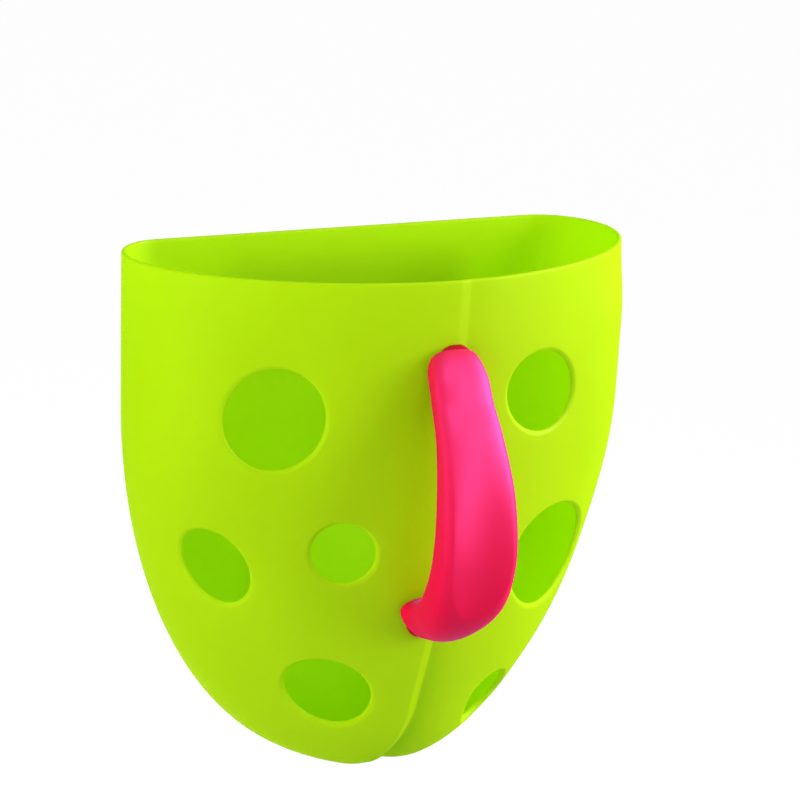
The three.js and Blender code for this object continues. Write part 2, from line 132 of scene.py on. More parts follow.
def white_to_the_camera(add, link):
    """A socket that is 1 for the camera, a reflection or a look through, and 0 for light on the object."""
    path = add("ShaderNodeLightPath")
    either = add("ShaderNodeMath", operation="MAXIMUM")
    any_of_three = add("ShaderNodeMath", operation="MAXIMUM")
    link(path.outputs["Is Camera Ray"], either.inputs[0])
    link(path.outputs["Is Glossy Ray"], either.inputs[1])
    link(either.outputs[0], any_of_three.inputs[0])
    link(path.outputs["Is Transmission Ray"], any_of_three.inputs[1])
    return any_of_three.outputs[0]


floor_material, floor_output, floor_node, floor_link = new_material("studio_floor")
floor_paper = floor_node("ShaderNodeBsdfDiffuse", Color=(0.40, 0.40, 0.39, 1.0))
floor_white = floor_node("ShaderNodeEmission", Strength=0.97)
floor_both = floor_node("ShaderNodeAddShader")
floor_pick = floor_node("ShaderNodeMixShader")
floor_dim_paper = floor_node("ShaderNodeBsdfDiffuse", Color=(0.16, 0.16, 0.16, 1.0))
floor_link(white_to_the_camera(floor_node, floor_link), floor_pick.inputs["Fac"])
floor_link(floor_white.outputs[0], floor_both.inputs[0])
floor_link(floor_dim_paper.outputs[0], floor_both.inputs[1])
floor_link(floor_paper.outputs[0], floor_pick.inputs[1])
floor_link(floor_both.outputs[0], floor_pick.inputs[2])
floor_link(floor_pick.outputs[0], floor_output.inputs["Surface"])

floor_half = 14000.0
floor_drop = -900.0
floor_corners = [(-1, -1), (1, -1), (1, 1), (-1, 1)]
floor_points = [(x * floor_half, y * floor_half, floor_drop) for x, y in floor_corners]
floor = mesh_piece("studio_floor", floor_points, [(0, 1, 2, 3)], floor_material, smooth=False)

surround = bpy.data.worlds.new("surround")
surround.use_nodes = True
scene.world = surround
surround_node, surround_link = node_maker(surround.node_tree)
surround_output = surround_node("ShaderNodeOutputWorld")
surround_light = surround_node("ShaderNodeBackground", Color=(1.0, 1.0, 1.0, 1.0), Strength=0.09)
surround_seen = surround_node("ShaderNodeBackground", Color=(1.0, 1.0, 1.0, 1.0), Strength=1.0)
surround_pick = surround_node("ShaderNodeMixShader")
surround_link(white_to_the_camera(surround_node, surround_link), surround_pick.inputs["Fac"])
surround_link(surround_light.outputs[0], surround_pick.inputs[1])
surround_link(surround_seen.outputs[0], surround_pick.inputs[2])
surround_link(surround_pick.outputs[0], surround_output.inputs["Surface"])


# The lamps: round softboxes at the right, at the left and in front of the right wing, which is the brightest
# part of the picture. A small one overhead catches the drains' lower lips, and a weak one behind stands in
# for the white paper there and lights the pod's inside through its back wall.
lamp_aim = Vector((0.0, -0.07, -0.06))


def softbox(name, place, size, power):
    lamp_data = bpy.data.lights.new(name, "AREA")
    lamp_data.shape = "DISK"
    lamp_data.size = size
    lamp_data.energy = power
    lamp = bpy.data.objects.new(name, lamp_data)
    lamp.location = place
    lamp.rotation_euler = (lamp_aim - Vector(place)).to_track_quat("-Z", "Y").to_euler()
    scene.collection.objects.link(lamp)
    return lamp


softbox("softbox_right", (1.46, -0.22, 0.48), size=1.30, power=27.0)
left_softbox = softbox("softbox_left", (-1.55, -0.42, -0.02), size=1.15, power=23.0)
left_softbox.visible_glossy = False
softbox("softbox_front", (1.30, -1.20, 0.24), size=1.40, power=21.0)
softbox("softbox_above", (0.05, -1.05, 1.35), size=0.60, power=6.0)
behind_softbox = softbox("softbox_behind", (0.0, 0.95, -0.62), size=0.80, power=6.0)
behind_softbox.visible_camera = False


# The lime plastic: a dyed polypropylene, satin, a little see-through where it is thin, the same all through.
# It shows faint flow clouds, a fine eroded grain from the mould, and small changes of gloss.
def noise_over(add, link, place, **settings):
    """The height of a noise texture laid over the piece."""
    texture = add("ShaderNodeTexNoise", **settings)
    link(place, texture.inputs["Vector"])
    return texture.outputs["Fac"]


def two_tones(add, first, second):
    """A mix of two tones of one colour."""
    tone = add("ShaderNodeMix", data_type="RGBA")
    tone.inputs[6].default_value = first
    tone.inputs[7].default_value = second
    return tone


def join_skin(link, shader, tone_pair, gloss_pair, dents_pair):
    """Joins a shader to its tone, gloss and dents, each given after the socket that steers it."""
    tone_from, tone = tone_pair
    gloss_from, gloss = gloss_pair
    height_from, dents = dents_pair
    link(tone_from, tone.inputs[0])
    link(tone.outputs[2], shader.inputs["Base Color"])
    link(gloss_from, gloss.inputs["Value"])
    link(gloss.outputs["Result"], shader.inputs["Roughness"])
    link(height_from, dents.inputs["Height"])
    link(dents.outputs["Normal"], shader.inputs["Normal"])


def lime_plastic(name, bright, deep, cloud_size):
    material, output, add, link = new_material(name)
    place = add("ShaderNodeTexCoord").outputs["Object"]
    clouds = noise_over(add, link, place, Scale=cloud_size, Detail=2.0, Roughness=0.45)
    tone = two_tones(add, deep, bright)
    spread = add("ShaderNodeMapRange", From_Min=0.35, From_Max=0.65, To_Min=0.0, To_Max=1.0)
    grain = noise_over(add, link, place, Scale=1500.0, Detail=2.0, Roughness=0.6)
    orange_peel = noise_over(add, link, place, Scale=190.0, Detail=1.0, Roughness=0.5)
    gloss = add("ShaderNodeMapRange", From_Min=0.3, From_Max=0.7, To_Min=0.40, To_Max=0.48)
    surface = add("ShaderNodeMath", operation="ADD")
    dents = add("ShaderNodeBump", Strength=0.35, Distance=0.00006)
    shader = add("ShaderNodeBsdfPrincipled")
    shader.inputs["IOR"].default_value = 1.49
    shader.inputs["Specular IOR Level"].default_value = 0.0
    shader.inputs["Sheen Weight"].default_value = 0.24
    shader.inputs["Sheen Roughness"].default_value = 0.5
    shader.inputs["Sheen Tint"].default_value = (0.80, 1.0, 0.05, 1.0)
    glow = add("ShaderNodeBsdfTranslucent", Color=(0.62, 0.98, 0.003, 1.0))
    both = add("ShaderNodeMixShader", Fac=0.40)
    satin = add("ShaderNodeBsdfGlossy", Color=(0.90, 1.0, 0.30, 1.0))
    coated = add("ShaderNodeMixShader", Fac=0.026)
    link(clouds, spread.inputs["Value"])
    link(orange_peel, surface.inputs[0])
    link(grain, surface.inputs[1])
    height = surface.outputs["Value"]
    join_skin(link, shader, (spread.outputs["Result"], tone), (orange_peel, gloss), (height, dents))
    link(shader.outputs["BSDF"], both.inputs[1])
    link(glow.outputs["BSDF"], both.inputs[2])
    link(gloss.outputs["Result"], satin.inputs["Roughness"])
    link(dents.outputs["Normal"], satin.inputs["Normal"])
    link(both.outputs["Shader"], coated.inputs[1])
    link(satin.outputs["BSDF"], coated.inputs[2])
    link(coated.outputs["Shader"], output.inputs["Surface"])
    return material


pod_plastic = lime_plastic(
    "lime_plastic",
    bright=(0.600, 0.755, 0.004, 1.0),
    deep=(0.555, 0.705, 0.003, 1.0),
    cloud_size=11.0,
)


# The pod: one moulding shaped like two folded wings, open at the top and narrowing to a blunt keel.
# Its left wing laps over the right one along the front, and seven oval drains are cut square to the wall.
pod_width = 240.0
pod_depth = 124.0
pod_height = 249.0
pod_wall = 2.4
rim_height = 40.0
rim_round = 1.3
pod_back = 11.5
corner_reach = 35.0
corner_spread = 27.0
front_power = 1.85
depth_straight = 15.0
depth_power = 3.7
depth_taper = 0.21
width_straight = 69.6
width_power = 2.036
width_taper = 0.030
shoulder_fullness = 0.24
shoulder_rise = 35.0
shoulder_fade_start = 75.0
shoulder_fade_end = 145.0
shoulder_near = 0.55
shoulder_far = 0.95
keel_fullness = 0.106
keel_start = 195.0
seam_at_rim = 6.0
seam_drifts = [(2.2, 0.6, 0.85), (5.3, 0.82, 0.98)]
lap_width = 18.0
lap_deepest = 4.5
lap_shallowest = 1.0
tip_rise = 2.4
tip_rise_left = 13.0
tip_rise_right = 30.0
lap_lift_power = 8
tip_lift_power = 12
lap_profile = [
    (-0.26, 0.0), (-0.22, 0.03), (-0.18, 0.12), (-0.13, 0.27), (-0.08, 0.43), (-0.03, 0.59),
    (0.01, 0.74), (0.035, 0.88), (0.055, 0.96), (0.08, 1.0), (0.12, 0.985), (0.18, 0.90),
    (0.25, 0.77), (0.35, 0.60), (0.45, 0.43), (0.55, 0.29), (0.67, 0.16), (0.81, 0.05), (0.95, 0.0),
]
left_columns = 62
lap_columns = len(lap_profile) - 1
right_columns = 56
front_columns = left_columns + lap_columns + right_columns
corner_columns = 9
back_columns = 22
pod_rings = 92
lowest_ring_share = 0.985


def clamp(value, low, high):
    return max(low, min(high, value))


def lerp(first, second, share):
    return first + (second - first) * share


def smooth_step(low, high, value):
    share = clamp((value - low) / (high - low), 0.0, 1.0)
    return share * share * (3.0 - 2.0 * share)


def signed_power(value, power):
    return math.copysign(abs(value) ** power, value)


def quarter_turn(step, steps):
    return step / steps * math.pi / 2


def rounded_share(drop, straight, power, taper):
    """How much of its width or depth the pod keeps at a drop below the rim."""
    curved = clamp((drop - straight) / (pod_height - straight), 0.0, 1.0)
    return (1.0 - taper * drop / pod_height) * (1.0 - curved ** power) ** (1.0 / power)


def pod_outline(drop, inset):
    """Half width, depth, back, corner reach, corner spread and shoulder fullness of the pod's section."""
    depth_share = rounded_share(drop, depth_straight, depth_power, depth_taper)
    depth_share *= 1.0 + keel_fullness * smooth_step(keel_start, pod_height, drop)
    width_share = rounded_share(drop, width_straight, width_power, width_taper)
    fading = 1.0 - smooth_step(shoulder_fade_start, shoulder_fade_end, drop)
    shoulders = shoulder_fullness * smooth_step(0.0, shoulder_rise, drop) * fading
    half = pod_width / 2 * width_share
    depth = pod_depth * depth_share
    reach = corner_reach * depth_share
    spread = corner_spread * width_share
    back = min(inset, depth / 4)
    return (
        max(half - inset, half / 4),
        max(depth - inset, depth / 2),
        back,
        max(reach, back),
        max(spread - inset, spread / 4),
        shoulders,
    )


def front_reach(across, outline):
    """How far the bulging front stands from the back wall, for a place across it."""
    half, depth, _, reach, _, shoulders = outline
    share = clamp(abs(across) / half, 0.0, 1.0)
    power = front_power + shoulders * smooth_step(shoulder_near, shoulder_far, share)
    return reach + (depth - reach) * (1.0 - share ** power) ** (1.0 / power)


def lap_at(drop, half):
    """The lap's place across the front, its width and its depth."""
    seam = seam_at_rim
    for drift, start, end in seam_drifts:
        seam -= drift * smooth_step(start, end, drop / pod_height)
    depth = lerp(lap_shallowest, lap_deepest, (drop / pod_height) ** 2)
    return clamp(seam, -half / 3, half / 3), min(lap_width, half / 2), depth


def across_front(column, drop, outline):
    """A column's place across the front, and how far the surface is sunk there."""
    half = outline[0]
    seam, width, depth = lap_at(drop, half)
    left_edge = seam + lap_profile[0][0] * width
    right_edge = seam + lap_profile[-1][0] * width
    if column <= left_columns:
        edge_angle = math.acos(signed_power(left_edge / half, front_power / 2))
        angle = lerp(math.pi, edge_angle, column / left_columns)
        return half * signed_power(math.cos(angle), 2 / front_power), 0.0
    if column >= left_columns + lap_columns:
        edge_angle = math.acos(signed_power(right_edge / half, front_power / 2))
        angle = lerp(edge_angle, 0.0, (column - left_columns - lap_columns) / right_columns)
        return half * signed_power(math.cos(angle), 2 / front_power), 0.0
    knot = column - left_columns
    low = min(int(knot), lap_columns - 1)
    place = lerp(lap_profile[low][0], lap_profile[low + 1][0], knot - low)
    sunk = lerp(lap_profile[low][1], lap_profile[low + 1][1], knot - low)
    return seam + place * width, sunk * depth


def skin_height(drop, inset):
    return rim_height - drop / pod_height * (pod_height - inset)


def front_point(column, drop, inset):
    outline = pod_outline(drop, inset)
    across, sunk = across_front(column, drop, outline)
    out = front_reach(across, outline) - sunk
    lift = sunk * (drop / pod_height) ** lap_lift_power
    seam = lap_at(drop, outline[0])[0]
    beside = smooth_step(seam - tip_rise_left, seam, across)
    beside -= smooth_step(seam, seam + tip_rise_right, across)
    lift += tip_rise * beside * (drop / pod_height) ** tip_lift_power
    return Vector((across, -(pod_back + out), skin_height(drop, inset) + lift))


def back_point(column, drop, inset):
    """A point of the two back corners and the flat back, running from the right side to the left."""
    half, _, back, reach, spread, _ = pod_outline(drop, inset)
    flat = half - spread
    height = skin_height(drop, inset)
    if column <= corner_columns:
        side = 1.0
        turn = quarter_turn(column, corner_columns)
    elif column >= corner_columns + back_columns:
        side = -1.0
        turn = quarter_turn(2 * corner_columns + back_columns - column, corner_columns)
    else:
        share = (column - corner_columns) / back_columns
        return Vector((lerp(flat, -flat, share), -(pod_back + back), height))
    across = side * (flat + spread * math.cos(turn))
    return Vector((across, -(pod_back + reach - (reach - back) * math.sin(turn)), height))


def ring_drop(share):
    return rim_round + (pod_height - rim_round) * math.sin(share * math.pi / 2)


def smooth_front(across, drop):
    """The front without its lap, where the drains and the handle's feet are laid out."""
    reach = front_reach(across, pod_outline(drop, 0.0))
    return Vector((across, -(pod_back + reach), rim_height - drop))


def front_normal(across, drop):
    step = 0.6
    sideways = smooth_front(across + step, drop) - smooth_front(across - step, drop)
    downwards = smooth_front(across, drop + step) - smooth_front(across, drop - step)
    return downwards.cross(sideways).normalized()


# Each drain: its place across and down, its long and short radius as shares of 25 mm, and its tilt.
drain_radius = 25.0
drains = [
    (-0.622, 0.257, 1.0, 0.94, 61.0),
    (-0.759, 0.548, 0.816, 0.632, -60.0),
    (-0.348, 0.51, 0.636, 0.612, -38.0),
    (-0.325, 0.794, 0.896, 0.724, -35.0),
    (0.434, 0.232, 0.94, 0.776, -25.5),
    (0.58, 0.569, 1.208, 1.044, -21.0),
    (0.389, 0.854, 0.652, 0.608, -54.0),
]
drain_throat = 0.8
lip_width = 2.0
lip_depth = 1.6
lip_power = 1.4
lip_inside = 0.5
drain_steps = 96
drain_ring_gaps = [0.0, 1.1, 2.9]
drain_clearance = 4.3
drain_reach = 40.0
search_inwards = -26.0
search_outwards = 12.0
search_rounds = 40


def drain_axes(drain):
    """A drain's centre on the front, its long and short directions, its way out, and its two radii."""
    across, down, long, short, tilt = drain
    place = (across * pod_width / 2, down * pod_height)
    out = front_normal(*place)
    level = Vector((-out.y, out.x, 0.0)).normalized()
    rising = out.cross(level)
    turn = math.radians(tilt)
    long_way = level * math.cos(turn) + rising * math.sin(turn)
    short_way = rising * math.cos(turn) - level * math.sin(turn)
    return smooth_front(*place), long_way, short_way, out, long * drain_radius, short * drain_radius


def on_the_front(start, out):
    """Where a line through a point near the front meets it: its place across and its drop."""
    low, high = search_inwards, search_outwards
    for _ in range(search_rounds):
        middle = (low + high) / 2
        point = start + out * middle
        drop = rim_height - point.z
        outline = pod_outline(drop, 0.0)
        if abs(point.x) < outline[0] and -point.y < pod_back + front_reach(point.x, outline):
            low = middle
        else:
            high = middle
    return point.x, drop


def column_at(across, drop):
    outline = pod_outline(drop, 0.0)
    low, high = 0.0, float(front_columns)
    for _ in range(search_rounds):
        middle = (low + high) / 2
        if across_front(middle, drop, outline)[0] < across:
            low = middle
        else:
            high = middle
    return low


def share_at(drop):
    return math.asin(clamp((drop - rim_round) / (pod_height - rim_round), 0.0, 1.0)) / (math.pi / 2)


drain_places = [drain_axes(drain) for drain in drains]
column_scale = 2.3
share_scale = 300.0

# The front is laid out flat as columns and rings, the drains' rounded edges are laid into it, and all of it
# is joined up into triangles.
flat_places = []
for ring in range(pod_rings + 1):
    share = ring / pod_rings * lowest_ring_share
    for column in range(front_columns + 1):
        point = front_point(column, ring_drop(share), 0.0)
        near_drain = False
        for centre, long_way, short_way, out, long, short in drain_places:
            offset = point - centre
            along = offset.dot(long_way) / (long + drain_clearance)
            aside = offset.dot(short_way) / (short + drain_clearance)
            if along * along + aside * aside < 1.0 and abs(offset.dot(out)) < drain_reach:
                near_drain = True
        if not near_drain:
            flat_places.append((float(column), share, -1))

drain_edges = []
for number, (centre, long_way, short_way, out, long, short) in enumerate(drain_places):
    for ring_number, gap in enumerate(drain_ring_gaps):
        first = len(flat_places)
        for step in range(drain_steps):
            angle = (step + 0.5 * (ring_number % 2)) / drain_steps * math.tau
            beyond = lip_width - drain_throat + gap
            start = centre + long_way * (long + beyond) * math.cos(angle)
            start += short_way * (short + beyond) * math.sin(angle)
            across, drop = on_the_front(start, out)
            owner = number if ring_number == 0 else -1
            flat_places.append((column_at(across, drop), share_at(drop), owner))
            if ring_number == 0:
                drain_edges.append((first + step, first + (step + 1) % drain_steps))

flat_points = [Vector((column * column_scale, share * share_scale)) for column, share, _ in flat_places]
joined = delaunay_2d_cdt(flat_points, drain_edges, [], 0, 1e-5)
joined_points, _, joined_faces, sources, _, _ = joined

pod_points = []
skin_owner = []
column_index = {}
for index, point in enumerate(joined_points):
    column = point.x / column_scale
    share = point.y / share_scale
    owners = [flat_places[source][2] for source in sources[index]]
    skin_owner.append(max(owners) if owners else -1)
    if abs(column - round(column)) < 1e-4:
        ring = share / lowest_ring_share * pod_rings
        if abs(ring - round(ring)) < 1e-4:
            column_index[(round(column), round(ring))] = index
    pod_points.append(front_point(column, ring_drop(share), 0.0))
skin_size = len(pod_points)
for point in joined_points:
    pod_points.append(front_point(point.x / column_scale, ring_drop(point.y / share_scale), pod_wall))

pod_faces = []
for face in joined_faces:
    owners = {skin_owner[corner] for corner in face}
    if len(owners) == 1 and owners != {-1}:
        continue
    pod_faces.append(tuple(face))
    pod_faces.append(tuple(corner + skin_size for corner in reversed(face)))


def both_skins(column, ring):
    """The outer and the inner point at one column and ring of the front."""
    outer = column_index[(column, ring)]
    return outer, outer + skin_size


back_total = 2 * corner_columns + back_columns
back_pairs = {}
for ring in range(pod_rings + 1):
    drop = ring_drop(ring / pod_rings * lowest_ring_share)
    for column in range(back_total + 1):
        if column == 0:
            pair = both_skins(front_columns, ring)
        elif column == back_total:
            pair = both_skins(0, ring)
        else:
            pair = (len(pod_points), len(pod_points) + 1)
            pod_points.append(back_point(column, drop, 0.0))
            pod_points.append(back_point(column, drop, pod_wall))
        back_pairs[(column, ring)] = pair
for ring in range(pod_rings):
    for column in range(back_total):
        for skin in (0, 1):
            pod_faces.append((
                back_pairs[(column, ring)][skin],
                back_pairs[(column + 1, ring)][skin],
                back_pairs[(column + 1, ring + 1)][skin],
                back_pairs[(column, ring + 1)][skin],
            ))


def whole_ring(ring):
    """Pairs of outer and inner points once round the pod at one ring."""
    front = [both_skins(column, ring) for column in range(front_columns + 1)]
    return front + [back_pairs[(column, ring)] for column in range(1, back_total)]


def band_faces(rows):
    """Four-sided faces between each closed row of points and the next."""
    faces = []
    for upper, lower in zip(rows, rows[1:]):
        for step in range(len(upper)):
            after = (step + 1) % len(upper)
            faces.append((upper[step], upper[after], lower[after], lower[step]))
    return faces


# The rim is rounded over from the outer skin to the inner one.
rim_pairs = whole_ring(0)
rim_steps = 8
rim_power = 0.8
rim_rows = [[pair[0] for pair in rim_pairs]]
for step in range(1, rim_steps):
    angle = step / rim_steps * math.pi
    row = []
    for outer, inner in rim_pairs:
        middle = (pod_points[outer] + pod_points[inner]) / 2
        half_wall = (pod_points[outer] - pod_points[inner]) / 2
        along = signed_power(math.cos(angle), rim_power)
        lift = Vector((0.0, 0.0, rim_round * abs(math.sin(angle)) ** rim_power))
        row.append(len(pod_points))
        pod_points.append(middle + half_wall * along + lift)
    rim_rows.append(row)
rim_rows.append([pair[1] for pair in rim_pairs])
pod_faces += band_faces(rim_rows)

# The keel is closed by a small fan in each skin.
for skin in (0, 1):
    keel = [pair[skin] for pair in whole_ring(pod_rings)]
    middle = sum((pod_points[index] for index in keel), Vector()) / len(keel)
    middle.z = rim_height - pod_height + skin * pod_wall
    pod_points.append(middle)
    for step in range(len(keel)):
        pod_faces.append((keel[step], keel[(step + 1) % len(keel)], len(pod_points) - 1))

# Each drain's edge is rounded over and its wall joins the two skins.
edge_steps = 6
for number, (centre, long_way, short_way, out, long, short) in enumerate(drain_places):
    ring = []
    for index in range(skin_size):
        if skin_owner[index] == number:
            offset = pod_points[index] - centre
            ring.append((math.atan2(offset.dot(short_way) / short, offset.dot(long_way) / long), index))
    ring = [index for _, index in sorted(ring)]
    rows = [ring]
    for skin in (0, 1):
        for step in range(1, edge_steps + 1) if skin == 0 else range(edge_steps, 0, -1):
            angle = quarter_turn(step, edge_steps)
            row = []
            for index in ring:
                outer = pod_points[index]
                inner = pod_points[index + skin_size]
                deeper = (inner - outer).normalized()
                offset = outer - centre
                inwards = -long_way * offset.dot(long_way) / long ** 2
                inwards -= short_way * offset.dot(short_way) / short ** 2
                inwards = (inwards - deeper * inwards.dot(deeper)).normalized()
                row.append(len(pod_points))
                if skin == 0:
                    corner = outer + deeper * lip_depth * (1 - math.cos(angle) ** lip_power)
                    pod_points.append(corner + inwards * lip_width * math.sin(angle) ** lip_power)
                else:
                    corner = inner - deeper * lip_inside * (1 - math.cos(angle))
                    pod_points.append(corner + inwards * lip_width * math.sin(angle))
            rows.append(row)
    rows.append([index + skin_size for index in ring])
    pod_faces += band_faces(rows)


def even_the_shading(piece):
    evened = piece.modifiers.new("even_shading", "WEIGHTED_NORMAL")
    evened.keep_sharp = False


pod = mesh_piece("pod", pod_points, pod_faces, pod_plastic)
even_the_shading(pod)
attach(pod, "scoop")
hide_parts("scoop_shell")


# The hook sockets, feet and screw bosses are moulded in one with the pod's back and front walls.
# The sockets drop over the plate's hooks, and the two round feet keep the pod upright against the tiles.
hook_spacing = 76.0
hook_width = 22.0
hook_height = 16.0
hook_thickness = 3.0
hook_arm = 5.0
plate_front = 5.0
seat_gap = 0.3
socket_wall = 2.6
socket_outer = plate_front + seat_gap
foot_radius = 5.0
foot_across = 39.6
foot_drop = 164.3
foot_edge = 1.2
boss_radius = 5.5
boss_length = 4.0
boss_edge = 0.5
sunk_edge = 0.1
socket_edge = 0.6


def round_edges(piece, edge, segments):
    """Rounds a piece's sharp edges over and evens its shading."""
    rounding = piece.modifiers.new("rounding", "BEVEL")
    rounding.width = edge * MM
    rounding.segments = segments
    rounding.limit_method = "ANGLE"
    even_the_shading(piece)
    return rounding


def blocks_piece(name, xs, ys, zs, filled, material, edge):
    """Joins the filled cells between the given planes into one closed block with rounded edges."""
    points = [(x, y, z) for x in xs for y in ys for z in zs]
    sides = {
        (-1, 0, 0): [(0, 0, 0), (0, 0, 1), (0, 1, 1), (0, 1, 0)],
        (1, 0, 0): [(1, 0, 0), (1, 1, 0), (1, 1, 1), (1, 0, 1)],
        (0, -1, 0): [(0, 0, 0), (1, 0, 0), (1, 0, 1), (0, 0, 1)],
        (0, 1, 0): [(0, 1, 0), (0, 1, 1), (1, 1, 1), (1, 1, 0)],
        (0, 0, -1): [(0, 0, 0), (0, 1, 0), (1, 1, 0), (1, 0, 0)],
        (0, 0, 1): [(0, 0, 1), (1, 0, 1), (1, 1, 1), (0, 1, 1)],
    }
    faces = []
    for cell in filled:
        for side, corners in sides.items():
            neighbour = tuple(cell[axis] + side[axis] for axis in range(3))
            if neighbour not in filled:
                faces.append(tuple(
                    ((cell[0] + i) * len(ys) + cell[1] + j) * len(zs) + cell[2] + k for i, j, k in corners
                ))
    used = sorted({corner for face in faces for corner in face})
    renumbered = {old: new for new, old in enumerate(used)}
    faces = [tuple(renumbered[corner] for corner in face) for face in faces]
    piece = mesh_piece(name, [points[index] for index in used], faces, material)
    round_edges(piece, edge, segments=3)
    return piece


def tube_faces(row_count, sides):
    """The bands of a tube of equal rows, with a face over each end."""
    rows = [tuple(range(row * sides, (row + 1) * sides)) for row in range(row_count)]
    return band_faces(rows) + [rows[0], rows[-1]]


def turned_piece(name, profile, across, height, material, steps=48):
    """Turns a profile of (radius, distance from the wall) about a level line through the pod."""
    points = []
    for radius, out in profile:
        for step in range(steps):
            angle = step / steps * math.tau
            points.append((across + radius * math.cos(angle), -out, height + radius * math.sin(angle)))
    return mesh_piece(name, points, tube_faces(len(profile), steps), material)


def rounded_bar(radius, near, far, edge_near, edge_far):
    """The profile of a round bar with its two ends rounded over."""
    edge_turns = [quarter_turn(step, 5) for step in range(1, 6)]
    profile = [(radius - edge_near, near)]
    for angle in edge_turns:
        profile.append((radius - edge_near * (1 - math.sin(angle)), near + edge_near * (1 - math.cos(angle))))
    for angle in reversed(edge_turns):
        profile.append((radius - edge_far * (1 - math.sin(angle)), far - edge_far * (1 - math.cos(angle))))
    profile.append((radius - edge_far, far))
    return profile


socket_low = -hook_height / 2 + hook_arm + seat_gap
socket_roof = hook_height / 2 + seat_gap
hollow_half = hook_width / 2 + seat_gap
block_half = hollow_half + socket_wall
for side, side_name in ((-1, "left"), (1, "right")):
    middle = side * hook_spacing / 2
    xs = [middle - block_half, middle - hollow_half, middle + hollow_half, middle + block_half]
    ys = [-(pod_back + pod_wall / 2), -(socket_outer + socket_wall), -socket_outer]
    zs = [socket_low, socket_roof, socket_roof + socket_wall]
    filled = {(x, y, z) for x in range(3) for y in range(2) for z in range(2)} - {(1, 0, 0)}
    socket = blocks_piece("hook_socket_" + side_name, xs, ys, zs, filled, pod_plastic, socket_edge)
    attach(socket, "scoop")
    foot_profile = rounded_bar(foot_radius, seat_gap, pod_back + pod_wall / 2, foot_edge, sunk_edge)
    foot_height = rim_height - foot_drop
    foot = turned_piece("foot_" + side_name, foot_profile, side * foot_across, foot_height, pod_plastic)
    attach(foot, "scoop")


# The screws: two zinc-plated pan-head screws, driven from inside the pod into the handle's hard core.
# Each head rests on a round boss moulded on the inside of the front wall.
def plated_steel():
    material, output, add, link = new_material("screw_steel")
    place = add("ShaderNodeTexCoord").outputs["Object"]
    brushing = noise_over(add, link, place, Scale=900.0, Detail=3.0, Roughness=0.6)
    tone = two_tones(add, (0.52, 0.53, 0.55, 1.0), (0.66, 0.67, 0.68, 1.0))
    dull = add("ShaderNodeMapRange", From_Min=0.3, From_Max=0.7, To_Min=0.26, To_Max=0.42)
    dents = add("ShaderNodeBump", Strength=0.25, Distance=0.00004)
    shader = add("ShaderNodeBsdfPrincipled", Metallic=1.0)
    join_skin(link, shader, (brushing, tone), (brushing, dull), (brushing, dents))
    link(shader.outputs["BSDF"], output.inputs["Surface"])
    return material


screw_steel = plated_steel()
screw_head_radius = 3.4
screw_head_height = 2.4
screw_radius = 1.6
screw_sides = 36
recess_profile = [(0.5, 1.3), (1.15, 1.25), (1.25, 0.15), (1.45, 0.0)]
crown_radius = 1.7
crown_steps = 6
brim_height = 0.4
thread_pitch = 0.9
thread_depth = 0.35
thread_profile = [(thread_depth, 0.15), (0.0, 0.45), (thread_depth, 0.75)]
thread_start = 0.3
thread_end = 1.4
tip_length = 1.1
tip_radius = 0.15
for screw_name in ("handle_screw_upper", "handle_screw_lower"):
    low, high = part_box(screw_name)
    screw_height = (low.z + high.z) / 2 / MM
    head_top = -high.y / MM
    screw_tip = -low.y / MM
    head_under = head_top + screw_head_height
    boss_face = head_under + seat_gap
    boss_profile = rounded_bar(boss_radius, boss_face, boss_face + boss_length, boss_edge, sunk_edge)
    boss_name = screw_name.replace("handle_screw", "screw_boss")
    boss = turned_piece(boss_name, boss_profile, 0.0, screw_height, pod_plastic)
    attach(boss, "scoop")
    profile = [(radius, head_top + depth) for radius, depth in recess_profile]
    for step in range(1, crown_steps + 1):
        angle = quarter_turn(step, crown_steps)
        profile.append((
            crown_radius + (screw_head_radius - crown_radius) * math.sin(angle),
            head_top + (screw_head_height - brim_height) * (1 - math.cos(angle)),
        ))
    profile.append((screw_head_radius, head_under))
    profile.append((screw_radius, head_under))
    turns = int((screw_tip - thread_end - head_under) / thread_pitch)
    for turn in range(turns):
        start = head_under + thread_start + turn * thread_pitch
        profile += [(screw_radius - depth, start + along) for depth, along in thread_profile]
    profile.append((screw_radius - thread_depth, screw_tip - tip_length))
    profile.append((tip_radius, screw_tip))
    steel_name = screw_name.replace("handle_screw", "steel_screw")
    screw = turned_piece(steel_name, profile, 0.0, screw_height, screw_steel, screw_sides)
    even_the_shading(screw)
    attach(screw, "scoop")
    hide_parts(screw_name)


# The handle's core: a hard dark red bar inside the grip, with a thin collar at each end.
# Its collars sit on the pod's front and show as a fine red line where the soft grip stops short.
handle_top = 40.5
handle_span = 120.0
handle_stand = 38.8
handle_width = 37.0
handle_thickness = 22.0
handle_knots = [
    (-0.033, -0.26, 0.605, 0.73), (-0.019, 0.018, 0.655, 0.72), (0.034, 0.214, 0.725, 0.67),
    (0.121, 0.384, 0.760, 0.62), (0.229, 0.615, 0.825, 0.68), (0.438, 0.905, 0.96, 0.84),
    (0.662, 1.015, 1.015, 0.97), (0.826, 0.88, 1.00, 1.02), (0.925, 0.60, 0.93, 0.98),
    (0.972, 0.26, 0.86, 0.92), (0.984, 0.03, 0.94, 0.94), (0.996, -0.206, 1.02, 0.98),
]


def knot_slope(before, here, after, gap_before, gap_after):
    """The curve's slope at a knot, from its two neighbours and the gaps to them."""
    slope = (here - before) / gap_before - (after - before) / (gap_before + gap_after)
    return slope + (after - here) / gap_after


